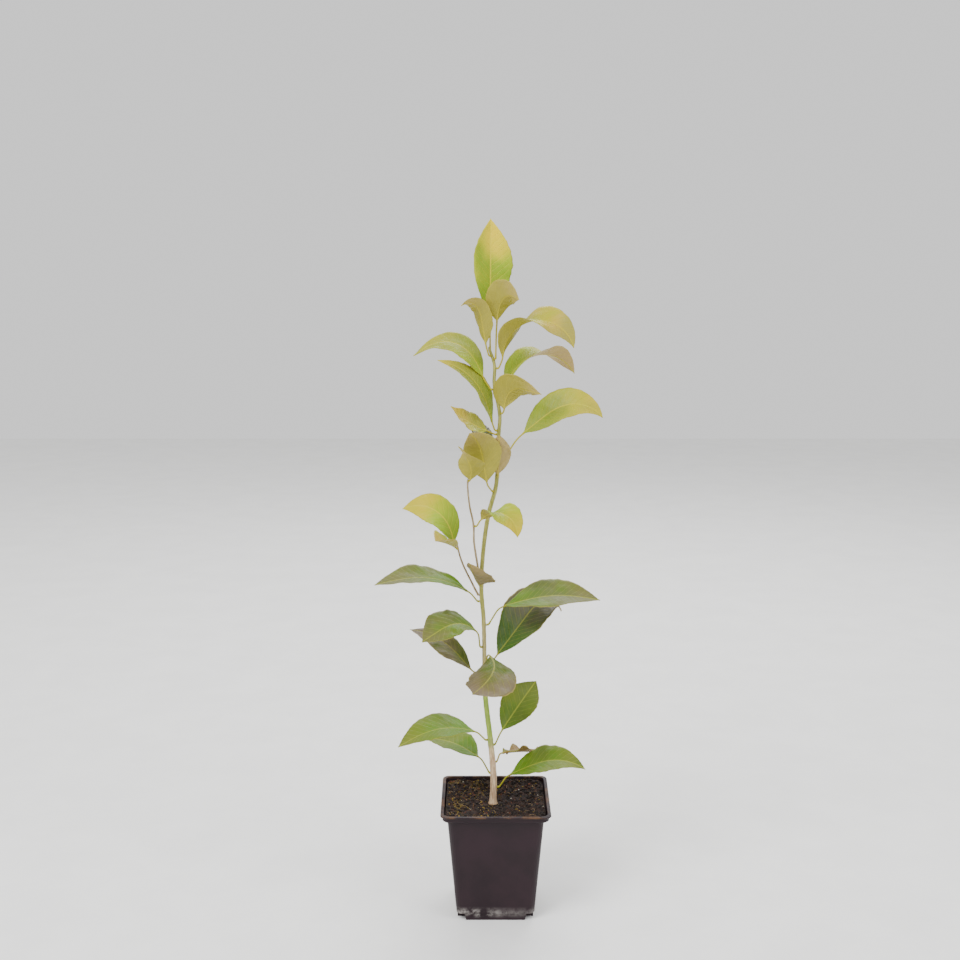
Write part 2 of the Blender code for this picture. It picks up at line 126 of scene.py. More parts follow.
# Pot and soil, as in the solids, in millimetres
POT_HEIGHT = 95.0
RIM_HALF = 43.2
WALL = 1.5
CORNER = 5.5
SOIL_LEVEL = 89.0
SOIL_EDGE = 92.6
SOIL_FLAT_HALF = 26.0
SOIL_BANK = 14.0
SOIL_HEAP = 1.5
SOIL_AT_STEM = 88.2
SOIL_STEM_FLAT = 6.5
SOIL_STEM_SPAN = 10.0
SOIL_ROUGH = 0.8
SOIL_WAVE_X = (0.31, 1.3)  # radians per millimetre, and at the middle
SOIL_WAVE_Y = (0.27, -0.4)
HEAP_LEFT = (10, 25)  # the heap begins this far left of the middle and is full so much further
HEAP_FRONT = (20, 30)  # and this far behind it, full so much further to the front

# The shown soil, in millimetres
SOIL_MARGIN = 0.4  # it stays this much further from the pot than the solid
SOIL_CELLS = 150
SOIL_DEEP = 6.0  # its underside below the level soil
SOIL_FOOT = 0.9  # its underside's width against its top's
LUMP_RATE = 0.22
LUMP_HIGH = 0.75
LUMP_FRACTAL = (0.7, 2.1, 5)
LUMP_SLICE = 1.7
CLOD_RATE = 0.6
CLOD_HIGH = 0.5
CLOD_SLICE = 4.0

# Crumbs on the soil: colour as seen, how many, smallest and largest radius in millimetres,
# flatness
CRUMBS = (
    ((30, 18, 12), 620, 0.5, 1.7, 0.7),
    ((58, 34, 22), 420, 0.4, 1.4, 0.6),
    ((98, 52, 30), 170, 0.4, 1.4, 0.35),
    ((142, 116, 34), 320, 0.3, 0.8, 0.6),
    ((178, 150, 92), 60, 0.25, 0.7, 0.5),
)
CRUMB_INSET = 1.8  # from the pot's wall
CRUMB_LIFT = 0.35  # of a crumb's middle above the soil, as a share of half its height
CRUMB_SEED = 11
CRUMB_TILT = 0.6  # radians
CRUMB_TURN = 6.28
# Smallest and largest share of a crumb's length, its breadth, its colour and its points' reach
CRUMB_LONG = (0.7, 1.4)
CRUMB_BROAD = (0.6, 1.1)
CRUMB_SHADES = (0.75, 1.25)
CRUMB_DENTS = (0.8, 1.15)
MOSSY = 100  # crumbs with more green than this lie mostly at the left:
MOSSY_RIGHT = -5  # of those right of this place
MOSSY_MOVED = 0.6  # this share is moved there

# White grains, at the photograph's pixels where they show, and smaller pale specks of grit:
# colour as seen, smallest and largest radius, height above the soil
GRAIN_PIXELS = ((463, 786), (491, 787), (519, 791), (511, 799), (538, 799), (471, 810), (543, 811))
GRAIN = ((214, 206, 190), 0.5, 0.8, 0.3)
GRIT = ((190, 176, 150), 0.2, 0.4, 0.15)
GRIT_COUNT = 26
GRAIN_FLAT = 0.8

# Fibres on the soil, the long one at the pixel where it shows
CURL_PIXEL = (523, 782)
CURL_LENGTH = 9.0
FIBRES = 30
FIBRE_LENGTHS = (3.0, 8.0)
FIBRE_RADII = (0.1, 0.18)
FIBRE_THINNING = 0.5  # the share of its radius that a fibre loses towards its end
FIBRE_BEND = 0.35  # most radians that it turns at each step
FIBRE_LIFT = 0.35  # of its ends above the soil
FIBRE_ARCH = 0.9  # how much higher its middle lies
FIBRE_INSET = 6.0  # of the places where it begins, from the pot's wall
FIBRE_STRAY = 4  # how far beyond those it may reach
FIBRE_STEPS = 11
FIBRE_SIDES = 6
FIBRE_SEED = 5

# Soil left on the rim's front edge, thickest between two places
RIM_CRUMBS = 90
RIM_CRUMB_HALF = 36
RIM_CRUMB_ACROSS = (-0.9, 1.2)
RIM_CRUMB_RADII = (0.15, 0.6)
RIM_THICK_FROM = 4
RIM_THICK_TO = 20
RIM_THIN = 0.55  # the crumbs' size elsewhere
RIM_CRUMB_FLAT = 0.5
RIM_CRUMB_LIFT = 0.2  # of its middle, as a share of its radius
RIM_CRUMB_SUNK = 0.35  # millimetres
RIM_CRUMB_COLOURS = ((120, 74, 40), (150, 112, 52), (86, 46, 30))
RIM_CRUMB_SEED = 23

# Leaf colours are deepened by these: strength of hue, and brightness
UPPER_DEPTH = (1.75, 0.7)
UNDER_DEPTH = (1.3, 0.64)
VEIN_DEPTH = (1.2, 0.8)
DRY_DEPTH = (1.2, 0.7)

# Colours that all leaves share, as seen
PALE_VEIN = (226, 226, 120)
MARGIN = (206, 190, 110)
STALK = (150, 140, 70)
DRY_UNDER = (203, 178, 128)

LEAF_SHIFT = (0.37, 0.21, 0.13)  # from one leaf's noise to the next one's, in metres

# Dark and light streaks of bark: at the stem's foot, on the side shoots, and in the zones above
# the foot, with the heights in metres where a zone begins and is full
FOOT_BARK = ((168, 136, 104), (214, 188, 152))
SHOOT_BARK = ((124, 104, 62), (164, 144, 110))
BARK_ZONES = (
    (0.128, 0.15, (112, 138, 40), (150, 170, 62)),
    (0.185, 0.205, (140, 128, 76), (168, 156, 100)),
    (0.235, 0.26, (126, 126, 48), (168, 162, 84)),
)

# Colours of the pot, the soil and the fibres, as seen, the darker one first
PLASTIC = ((31, 18, 24), (40, 26, 32))
LIME = (188, 182, 176)
RIM_DUST = (112, 78, 44)
RIM_STAIN = (96, 74, 52)
EARTH = ((16, 9, 7), (52, 29, 19))
MOSS = (134, 112, 34)
STRAW = ((112, 84, 54), (168, 142, 104))

# Where in metres they show: the lime line from its foot to its top, the dust and the stain by
# height, and the lime and the moss from the left to the right
LIME_LINE = (0.001, 0.006, 0.013)
DUST_HEIGHTS = (0.0928, 0.0946)
STAIN_HEIGHTS = (0.088, 0.094)
LIME_SIDES = (-0.02, 0.012)
MOSS_SIDES = (-0.035, 0.01)

# Linear colours of the floor
FLOOR_TONES = ((0.84, 0.84, 0.83, 1.0), (0.88, 0.88, 0.87, 1.0))

# Noises: lumps per metre, detail and roughness
LEAF_BROAD = (26.0, 2.0, 0.5)
LEAF_BLOTCH = (60.0, 3.0, 0.55)
LEAF_FINE = (420.0, 3.0, 0.6)
BARK_LINES = (900.0, 4.0, 0.6)
BARK_MOTTLE = (180.0, 3.0, 0.55)
POT_COARSE = (30.0, 4.0, 0.6)
POT_SMEAR = (70.0, 5.0, 0.65)
POT_FINE = (1400.0, 3.0, 0.6)
CRUMB_GRAIN = (2400.0, 4.0, 0.65)
SOIL_PATCH = (45.0, 3.0, 0.6)
SOIL_COARSE = (220.0, 6.0, 0.7)
SOIL_FINE = (1500.0, 5.0, 0.7)
FIBRE_GRAIN = (900.0, 3.0, 0.6)
FLOOR_BROAD = (14.0, 4.0, 0.6)
FLOOR_FINE = (300.0, 3.0, 0.5)


@dataclass
class Limb:
    """A tapering limb through stations of (height, right, back, diameter), in millimetres."""

    name: str
    stations: tuple


@dataclass
class Leaf:
    """One leaf. Lengths are in millimetres and angles in degrees."""

    name: str
    limb: str
    height: float  # of the petiole's foot above the pot's underside
    heading: float  # 0 points right, 90 to the back, 180 left
    petiole: float
    rise: float  # of the blade where it begins, above level
    length: float
    width: float
    droop: float = 30.0  # how far the blade bends down on its way to the tip
    sweep: float = 0.0  # how far its heading turns to the left on that way
    roll: float = 0.0  # how far its left half is tipped up
    twist: float = 0.0  # how much more it rolls on the way to its tip
    twist_at: float = 0.5  # where along the blade half of that has been made
    fold: tuple = (12.0, 12.0)  # how far the left and right halves stand up
    sides: tuple = (1.0, 1.0)  # the left and right halves' share of half the width
    crest: float = 0.5  # where along the blade it bends
    span: float = 1.0  # how much of the blade the bend takes
    wave: float = 0.0  # height of the waves along the edge
    waves: float = 2.5
    belly: float = 0.45  # where along the blade it is widest
    petiole_rise: float = 45.0


@dataclass
class Look:
    """A leaf's colours as seen, red green blue of 255."""

    base: tuple
    tip: tuple
    # the colour of the painted sheen, reflected light painted onto the upper side
    under: tuple
    sheen_colour: tuple
    sheen_share: float  # how much of the upper side the painted sheen covers


STEM = Limb(
    "main_stem",
    (
        (88.5, -1.9, 0.0, 8.4),
        (92.0, -1.8, 0.0, 6.2),
        (113.0, -1.5, 0.4, 5.4),
        (144.0, -4.2, 1.0, 4.6),
        (184.0, -8.6, 1.6, 4.2),
        (217.0, -9.2, 1.0, 3.6),
        (247.0, -9.8, -0.4, 3.5),
        (272.0, -11.7, -1.0, 3.6),
        (300.0, -10.6, -0.4, 3.5),
        (333.0, -6.3, 0.8, 3.6),
        (360.0, 0.4, 2.0, 3.4),
        (400.0, 2.2, 2.4, 3.0),
        (416.0, 3.0, 1.8, 2.9),
        (440.0, -1.4, 0.6, 2.8),
        (456.0, -1.4, 0.0, 2.5),
        (470.0, -6.0, -0.6, 1.8),
    ),
)
SHOOT_LEFT = Limb(
    "shoot_left",
    (
        (268.0, -14.0, -2.0, 1.9),
        (277.0, -18.4, -3.4, 1.7),
        (297.0, -27.5, -5.4, 1.5),
        (313.0, -31.8, -6.0, 1.3),
    ),
)
SHOOT_MIDDLE = Limb(
    "shoot_middle",
    (
        (280.0, -12.6, -4.6, 2.1),
        (297.0, -15.2, -6.6, 1.8),
        (314.0, -17.6, -7.6, 1.7),
        (328.0, -18.0, -8.4, 1.6),
        (343.0, -21.0, -9.0, 1.5),
        (358.0, -22.6, -9.4, 1.4),
        (365.5, -22.4, -9.6, 1.3),
    ),
)
LEAVES = (
    Leaf(
        "leaf_01", "main_stem", 467, 88, 30, 85, 75, 36,
        droop=3, roll=24, fold=(20, 20), belly=0.54, petiole_rise=84,
    ),
    Leaf(
        "leaf_02", "main_stem", 463, -138, 12, 77, 48, 18,
        droop=105, crest=0.72, span=0.7, roll=6, twist=40, twist_at=0.8, fold=(30, 12), petiole_rise=68,
    ),
    Leaf(
        "leaf_03", "main_stem", 460, -55, 32, 82, 41, 30,
        droop=104, crest=0.5, roll=-30, twist=-35, sides=(0.6, 1.0), belly=0.55, petiole_rise=88,
    ),
    Leaf(
        "leaf_04", "main_stem", 453, -14, 12, 84, 82, 34,
        droop=158, crest=0.56, span=2.5, roll=-36, twist=82, fold=(25, 10), petiole_rise=67,
    ),
    Leaf(
        "leaf_05", "main_stem", 436, 172, 14, 65, 72, 28,
        droop=100, crest=0.5, span=0.9, roll=-28, fold=(5, 5), belly=0.38, petiole_rise=55,
    ),
    Leaf(
        "leaf_06", "main_stem", 403, -160, 9, 73, 72, 23,
        droop=57, crest=0.56, roll=-45, belly=0.35, petiole_rise=70,
    ),
    Leaf(
        "leaf_07", "main_stem", 434, 22, 10, 68, 76, 32,
        droop=126, crest=0.55, span=2, roll=28, twist=-68, twist_at=0.67, fold=(5, 40), petiole_rise=30,
    ),
    Leaf(
        "leaf_08", "main_stem", 417, -45, 6, 84, 50, 29,
        droop=92, crest=0.3, span=0.7, roll=-50, twist=-10, sides=(0.6, 1.0), belly=0.3, petiole_rise=60,
    ),
    Leaf(
        "leaf_09", "main_stem", 378, -9, 31, 40, 73, 32,
        droop=92, crest=0.8, span=1.2, roll=48, petiole_rise=58,
    ),
    Leaf(
        "leaf_10", "main_stem", 400, -165, 9, 24, 36, 22,
        droop=-22, roll=-40, belly=0.38, petiole_rise=25,
    ),
    Leaf("leaf_11", "main_stem", 388, 134, 8, 38, 36, 22, droop=12, petiole_rise=15),
    Leaf(
        "leaf_12", "main_stem", 354, -130, 13, 76, 48, 32,
        droop=50, crest=0.8, roll=34, belly=0.5, petiole_rise=44,
    ),
    Leaf("leaf_13", "main_stem", 366, -84, 4, 84, 35, 22, droop=22, petiole_rise=48),
    Leaf("leaf_14", "shoot_middle", 364, -60, 3, 62, 34, 24, droop=10, sweep=-130),
    Leaf(
        "leaf_15", "shoot_middle", 327, -26, 9, 46, 44, 28,
        droop=136, crest=0.52, span=2, roll=-60, twist=85, twist_at=0.22, petiole_rise=59,
    ),
    Leaf(
        "leaf_16", "shoot_left", 311, 160, 3, 82, 61, 32,
        droop=106, span=1.3, roll=-20, twist=-25, fold=(5, 5),
    ),
    Leaf(
        "leaf_17", "shoot_left", 308, -112, 5, 22, 42, 28,
        droop=8, fold=(20, 45), sides=(0.6, 1.0),
    ),
    Leaf(
        "leaf_18", "main_stem", 277, -112, 4, 40, 30, 32,
        droop=-15, fold=(-5, 50), sides=(1.2, 0.8), petiole_rise=30,
    ),
    Leaf(
        "leaf_19", "main_stem", 263, -171, 14, 32, 78, 34,
        droop=43, crest=0.35, span=1.1, roll=-12, belly=0.58, petiole_rise=52,
    ),
    Leaf("leaf_20", "main_stem", 243, -7, 24, 19, 78, 38, droop=28, roll=22, petiole_rise=60),
    Leaf(
        "leaf_21", "main_stem", 206, 25, 15, 48, 80, 46,
        droop=115, crest=0.8, span=0.6, roll=22, belly=0.55, petiole_rise=51,
    ),
    Leaf(
        "leaf_22", "main_stem", 224, -154, 18, 40, 51, 36,
        droop=66, crest=0.3, span=0.8, roll=-22, belly=0.58, petiole_rise=84,
    ),
    Leaf(
        "leaf_23", "main_stem", 199, 156, 12, 44, 64, 34,
        droop=43, crest=0.58, roll=-15, sides=(1.0, 0.6), petiole_rise=20,
    ),
    Leaf(
        "leaf_24", "main_stem", 203, -67, 23, -12, 54, 46,
        droop=14, sweep=-85, fold=(-14, -14), belly=0.72, petiole_rise=86,
    ),
    Leaf(
        "leaf_25", "main_stem", 139, 34, 15, 48, 50, 34,
        droop=4, roll=25, belly=0.58, petiole_rise=60,
    ),
    Leaf(
        "leaf_26", "main_stem", 144, -164, 15, 20, 67, 40,
        droop=45, crest=0.4, roll=-10, petiole_rise=48,
    ),
    Leaf("leaf_27", "main_stem", 114, 139, 19, 15, 59, 32, droop=28, roll=-8, petiole_rise=50),
    Leaf(
        "leaf_28", "main_stem", 124, 35, 11, -8, 42, 26,
        droop=6, roll=-18, wave=3, petiole_rise=68,
    ),
    Leaf(
        "leaf_29", "main_stem", 103, -7, 17, 27, 66, 34,
        droop=62, crest=0.8, span=1.3, roll=20, petiole_rise=58,
    ),
)

# Each look: base, tip and under side colours, the painted sheen's colour, and how much of the upper side
# the painted sheen covers
YOUNG = Look((166, 186, 10), (206, 194, 40), (184, 174, 110), (176, 160, 110), 0.05)
TOP = Look((176, 200, 20), (240, 222, 10), (190, 184, 100), (196, 176, 110), 0.03)
BRIGHT = Look((164, 180, 4), (196, 186, 30), (196, 176, 130), (190, 168, 124), 0.12)
KHAKI = Look((172, 180, 40), (196, 180, 84), (184, 176, 104), (184, 160, 120), 0.25)
TAN = Look((170, 172, 60), (196, 178, 110), (192, 174, 128), (184, 160, 130), 0.5)
GREEN = Look((104, 126, 24), (112, 118, 46), (150, 148, 88), (112, 98, 78), 0.45)
DARK = Look((70, 92, 14), (84, 86, 40), (140, 134, 92), (98, 84, 76), 0.55)
OLIVE = Look((86, 98, 40), (104, 98, 66), (146, 134, 104), (116, 100, 86), 0.7)
LOW = Look((106, 130, 14), (120, 130, 26), (150, 146, 84), (118, 110, 62), 0.25)
WITHERED = Look((120, 124, 60), (150, 128, 88), (158, 136, 98), (146, 116, 84), 0.8)

LOOKS = {
    "leaf_01": TOP,
    "leaf_02": KHAKI,
    "leaf_03": KHAKI,
    "leaf_04": KHAKI,
    "leaf_05": BRIGHT,
    "leaf_06": BRIGHT,
    "leaf_07": BRIGHT,
    "leaf_08": KHAKI,
    "leaf_09": BRIGHT,
    "leaf_10": KHAKI,
    "leaf_11": DARK,
    "leaf_12": KHAKI,
    "leaf_13": TAN,
    "leaf_14": KHAKI,
    "leaf_15": YOUNG,
    "leaf_16": YOUNG,
    "leaf_17": KHAKI,
    "leaf_18": OLIVE,
    "leaf_19": GREEN,
    "leaf_20": GREEN,
    "leaf_21": DARK,
    "leaf_22": GREEN,
    "leaf_23": OLIVE,
    "leaf_24": OLIVE,
    "leaf_25": LOW,
    "leaf_26": LOW,
    "leaf_27": LOW,
    "leaf_28": WITHERED,
    "leaf_29": LOW,
}


def smooth(x):
    """A soft step from 0 to 1 as x goes from 0 to 1."""
    x = min(max(x, 0.0), 1.0)
    return x * x * (3.0 - 2.0 * x)


def seen(red, green, blue):
    """A linear colour from one as seen, of 255."""
    linear = []
    for value in (red, green, blue):
        value /= 255
        linear.append(value / 12.92 if value <= 0.04045 else ((value + 0.055) / 1.055) ** 2.4)
    return (*linear, 1.0)


def leafy(colour, vivid, share):
    """A linear leaf colour, deepened so that it keeps its strength in the light."""
    linear = seen(*colour)
    grey = 0.3 * linear[0] + 0.6 * linear[1] + 0.1 * linear[2]
    return (*(max(0.003, (grey + (c - grey) * vivid) * share) for c in linear[:3]), 1.0)


def shaded(colour, share):
    """A linear colour made darker or lighter."""
    return (*(channel * share for channel in colour[:3]), 1.0)


def along(values, places, at):
    """Catmull-Rom interpolation of values known at rising places."""
    last = len(places) - 1
    i = max(k for k in range(last) if at >= places[k] or k == 0)
    span = places[i + 1] - places[i]
    x = (at - places[i]) / span

    def slope(k):
        low, high = max(k - 1, 0), min(k + 1, last)
        return (values[high] - values[low]) / (places[high] - places[low]) * span

    a, b = values[i], values[i + 1]
    curve = (2 * x**3 - 3 * x**2 + 1) * a + (3 * x**2 - 2 * x**3) * b
    return curve + (x**3 - 2 * x**2 + x) * slope(i) + (x**3 - x**2) * slope(i + 1)


def limb_at(limb, height):
    """The limb's centre in metres and its radius, at a height in millimetres."""
    places = [s[0] for s in limb.stations]
    right, back, thick = (along([s[k] for s in limb.stations], places, height) for k in (1, 2, 3))
    return Vector((right, back, height)) * MM, thick / 2 * MM


class Nodes:
    """A short way to build a material's nodes."""

    def __init__(self, name):
        self.material = bpy.data.materials.new(name)
        self.material.use_nodes = True
        self.tree = self.material.node_tree
        self.shader = self.tree.nodes["Principled BSDF"]

    def link(self, socket, value):
        """Feeds an input from another node's output, or sets its value."""
        if isinstance(value, bpy.types.NodeSocket):
            self.tree.links.new(value, socket)
        else:
            socket.default_value = value

    def new(self, kind, **values):
        """A node with some of its inputs set."""
        node = self.tree.nodes.new(kind)
        for key, value in values.items():
            self.link(node.inputs[key], value)
        return node

    def attribute(self, name, output="Fac"):
        node = self.new("ShaderNodeAttribute")
        node.attribute_name = name
        return node.outputs[output]

    def place(self):
        return self.new("ShaderNodeTexCoord").outputs["Object"]

    def axis(self, name):
        return self.new("ShaderNodeSeparateXYZ", Vector=self.place()).outputs[name]

    def math(self, operation, *values):
        node = self.new("ShaderNodeMath")
        node.operation = operation
        for socket, value in zip(node.inputs, values):
            self.link(socket, value)
        return node.outputs[0]

    def plus(self, a, b):
        return self.math("ADD", a, b)

    def times(self, a, b):
        return self.math("MULTIPLY", a, b)

    def band(self, value, low, high, start=0.0, end=1.0):
        """A soft step of value from low to high."""
        ends = {"From Min": low, "From Max": high, "To Min": start, "To Max": end}
        node = self.new("ShaderNodeMapRange", Value=value, **ends)
        node.interpolation_type = "SMOOTHSTEP"
        return node.outputs["Result"]

    def mix(self, share, a, b):
        """Goes from colour a to colour b."""
        node = self.new("ShaderNodeMix")
        node.data_type = "RGBA"
        self.link(node.inputs["Factor"], share)
        for socket, value in zip([s for s in node.inputs if s.type == "RGBA"], (a, b)):
            self.link(socket, value)
        return next(s for s in node.outputs if s.type == "RGBA")

    def noise(self, scale, detail, rough, offset=(0.0, 0.0, 0.0), stretch=(1.0, 1.0, 1.0)):
        """Noise over the object's own space, stretched and then moved by offset."""
        moved = self.new("ShaderNodeMapping", Vector=self.place(), Location=offset, Scale=stretch)
        spot = moved.outputs[0]
        node = self.new("ShaderNodeTexNoise", Vector=spot, Scale=scale, Detail=detail, Roughness=rough)
        return node.outputs["Fac"]

    def paint(self, colour, roughness):
        self.link(self.shader.inputs["Base Color"], colour)
        self.link(self.shader.inputs["Roughness"], roughness)

    def dull(self, specular):
        self.shader.inputs["Specular IOR Level"].default_value = specular

    def bump(self, height, distance, strength):
        node = self.new("ShaderNodeBump", Height=height, Distance=distance, Strength=strength)
        self.link(self.shader.inputs["Normal"], node.outputs[0])


def upper_colour(n, look, share, blotch, broad):
    """The upper side goes from the base's colour to the tip's, with deeper patches and painted sheen."""
    base = leafy(look.base, *UPPER_DEPTH)
    uneven = n.plus(share, n.times(n.math("SUBTRACT", blotch, 0.5), 0.9))
    colour = n.mix(n.band(uneven, 0.15, 0.95), base, leafy(look.tip, *UPPER_DEPTH))
    colour = n.mix(n.band(broad, 0.42, 0.66, 0.0, 0.75), colour, shaded(base, 0.6))
    # painted sheen: patches of mauve-grey reflected light painted over the upper side, from noise, more
    # of it towards the tip
    sheen_share = n.plus(n.times(broad, 0.6), n.times(blotch, 0.4))
    sheen_share = n.band(n.plus(sheen_share, n.times(share, 0.2)), 0.42, 0.72, 0.0, look.sheen_share)
    return n.mix(sheen_share, colour, seen(*look.sheen_colour))


def under_colour(n, look, share, blotch):
    """The under side dries towards its tip and is blotched."""
    fresh = leafy(look.under, *UNDER_DEPTH)
    colour = n.mix(n.band(share, 0.45, 1.0, 0.0, 0.6), fresh, leafy(DRY_UNDER, *DRY_DEPTH))
    return n.mix(n.band(blotch, 0.4, 0.8, 0.0, 0.35), colour, shaded(fresh, 0.75))


def side_veins(n, wide, edge):
    """Slanting side veins that end before the margin."""
    climb = n.math("SUBTRACT", n.attribute("down_blade"), n.times(wide, VEIN_SLANT))
    ripple = n.math("SINE", n.times(climb, 2 * math.pi / VEIN_SPACING))
    return n.times(n.band(ripple, 0.86, 1.0), n.band(edge, 0.75, 1.0, 1.0, 0.0))


def leaf_material(name, look, number):
    """A leaf's skin: both sides' colours, midrib, side veins, pale margin and petiole."""
    n = Nodes(name)
    shift = tuple(number * step for step in LEAF_SHIFT)
    blotch = n.noise(*LEAF_BLOTCH, offset=shift)
    fine = n.noise(*LEAF_FINE, offset=shift)
    broad = n.noise(*LEAF_BROAD, offset=shift)
    share = n.attribute("along_blade")
    edge = n.attribute("edge_share")
    wide = n.math("ABSOLUTE", n.attribute("from_midrib"))
    rib = n.band(wide, 0.25, 0.95, 1.0, 0.0)
    vein = side_veins(n, wide, edge)
    upper = upper_colour(n, look, share, blotch, broad)
    skin = n.mix(n.attribute("upper_side"), under_colour(n, look, share, blotch), upper)
    pale = n.mix(0.35, leafy(look.tip, *UPPER_DEPTH), leafy(PALE_VEIN, *VEIN_DEPTH))
    skin = n.mix(n.times(rib, 0.6), skin, pale)
    skin = n.mix(n.times(vein, 0.26), skin, pale)
    skin = n.mix(n.band(edge, 0.93, 1.0, 0.0, 0.45), skin, leafy(MARGIN, *DRY_DEPTH))
    stalk = n.mix(0.5, pale, leafy(STALK, *UPPER_DEPTH))
    skin = n.mix(n.band(share, -0.02, 0.02, 1.0, 0.0), skin, stalk)
    n.paint(skin, n.band(fine, 0.3, 0.7, 0.42, 0.58))
    n.dull(0.22)
    relief = n.plus(n.times(n.plus(rib, vein), -0.55), n.times(fine, 0.5))
    n.bump(n.plus(relief, n.times(blotch, 0.9)), 0.00035, 0.7)
    return n.material


def streaked(n, share, dark, light):
    """Streaks or clouds of two colours as seen."""
    return n.mix(n.band(share, 0.35, 0.7), seen(*dark), seen(*light))


def bark_material(name, woody):
    """Bark: tan and cracked at the foot, green further up, brownish on the shoots."""
    n = Nodes(name)
    lines = n.noise(*BARK_LINES, stretch=(1.0, 1.0, BARK_STRETCH))
    mottle = n.noise(*BARK_MOTTLE)
    if woody:
        colour = streaked(n, mottle, *SHOOT_BARK)
    else:
        colour = streaked(n, lines, *FOOT_BARK)
        uneven = n.plus(n.axis("Z"), n.times(n.math("SUBTRACT", mottle, 0.5), 0.02))
        for begin, full, dark, light in BARK_ZONES:
            colour = n.mix(n.band(uneven, begin, full), colour, streaked(n, lines, dark, light))
    n.paint(colour, n.band(lines, 0.3, 0.7, 0.5, 0.75))
    n.bump(n.plus(lines, n.times(mottle, 0.5)), 0.0003, 0.8)
    return n.material


def pot_material():
    """Dark plum-grey plastic, lime-stained near the foot and dusted with soil at the rim."""
    n = Nodes("pot_plastic")
    height = n.axis("Z")
    coarse = n.noise(*POT_COARSE)
    smear = n.noise(*POT_SMEAR)
    colour = streaked(n, coarse, *PLASTIC)
    left = n.band(n.axis("X"), *LIME_SIDES, 1.0, 0.25)
    line = n.times(n.band(height, *LIME_LINE[:2]), n.band(height, *LIME_LINE[1:], 1.0, 0.0))
    lime = n.times(n.times(line, left), n.band(smear, 0.4, 0.62))
    colour = n.mix(n.times(lime, 0.85), colour, seen(*LIME))
    dust = n.times(n.band(height, *DUST_HEIGHTS), n.band(smear, 0.45, 0.62))
    colour = n.mix(n.times(dust, 0.5), colour, seen(*RIM_DUST))
    stain = n.times(n.band(height, *STAIN_HEIGHTS), n.band(coarse, 0.5, 0.8, 0.0, 0.35))
    colour = n.mix(stain, colour, seen(*RIM_STAIN))
    n.paint(colour, n.band(coarse, 0.3, 0.7, 0.38, 0.6))
    n.dull(0.22)
    n.bump(n.noise(*POT_FINE), 0.00006, 0.5)
    return n.material


def crumb_material(name):
    """Crumbs take their own colour, broken up by grain."""
    n = Nodes(name)
    grain = n.noise(*CRUMB_GRAIN)
    own = n.attribute("crumb_colour", "Color")
    dark = n.mix(0.55, own, (0.0, 0.0, 0.0, 1.0))
    n.paint(n.mix(n.band(grain, 0.35, 0.65), dark, own), 0.95)
    n.bump(grain, 0.0004, 0.9)
    return n.material


def soil_material():
    """Nearly black soil with red-brown bits and ochre moss, most of it at the left."""
    n = Nodes("soil_bed")
    coarse = n.noise(*SOIL_COARSE)
    fine = n.noise(*SOIL_FINE)
    patch = n.noise(*SOIL_PATCH)
    left = n.band(n.axis("X"), *MOSS_SIDES, 1.0, 0.35)
    colour = n.mix(n.band(coarse, 0.35, 0.68), *(seen(*tone) for tone in EARTH))
    moss = n.times(left, n.times(n.band(patch, 0.52, 0.68), n.band(fine, 0.46, 0.6)))
    n.paint(n.mix(n.times(moss, 0.8), colour, seen(*MOSS)), 0.92)
    n.bump(n.plus(coarse, fine), 0.0012, 1.0)
    return n.material


def fibre_material():
    """Straw-coloured fibres, darker in places."""
    n = Nodes("fibres")
    grain = n.noise(*FIBRE_GRAIN)
    n.paint(n.mix(n.band(grain, 0.35, 0.65), *(seen(*tone) for tone in STRAW)), 0.8)
    n.bump(grain, 0.0001, 0.5)
    return n.material


def floor_material():
    """A plain pale floor with hardly any grain."""
    n = Nodes("floor")
    n.paint(n.mix(n.band(n.noise(*FLOOR_BROAD), 0.3, 0.7), *FLOOR_TONES), 0.7)
    n.bump(n.noise(*FLOOR_FINE), 0.0001, 0.3)
    return n.material


def put_in_scene(thing):
    """Links an object to the scene and gives it back."""
    bpy.context.scene.collection.objects.link(thing)
    return thing


def new_piece(name, bm, material, rounded=True):
    """A piece made of a mesh under work, smooth-shaded if it is rounded."""
    mesh = bpy.data.meshes.new(name)
    bm.to_mesh(mesh)
    bm.free()
    if rounded:
        mesh.shade_smooth()
    mesh.materials.append(material)
    return put_in_scene(bpy.data.objects.new(name, mesh))


def join_rings(bm, rings):
    """A closed body through rings of equally many points, with flat end caps."""
    rows = [[bm.verts.new(point) for point in ring] for ring in rings]
    count = len(rows[0])
    for low, high in zip(rows, rows[1:]):
        for k in range(count):
            n = (k + 1) % count
            bm.faces.new((low[k], low[n], high[n], high[k]))
    bm.faces.new(rows[0][::-1])
    bm.faces.new(rows[-1])


def heading_vectors(heading, rise):
    """The forward, left and upper directions of a level or rising leaf."""
    a, r = math.radians(heading), math.radians(rise)
    forward = Vector((math.cos(r) * math.cos(a), math.cos(r) * math.sin(a), math.sin(r)))
    left = Vector((-math.sin(a), math.cos(a), 0.0))
    return forward, left, forward.cross(left)


def turned(a, b, degrees):
    """Turns a towards b, and b away from a, both at right angles."""
    c, s = math.cos(math.radians(degrees)), math.sin(math.radians(degrees))
    return a * c + b * s, b * c - a * s


def bend_share(leaf, t):
    """How much of a blade's whole bend has been made at t."""
    low = smooth(0.5 - leaf.crest / leaf.span)
    high = smooth(0.5 + (1.0 - leaf.crest) / leaf.span)
    return (smooth((t - leaf.crest) / leaf.span + 0.5) - low) / (high - low)


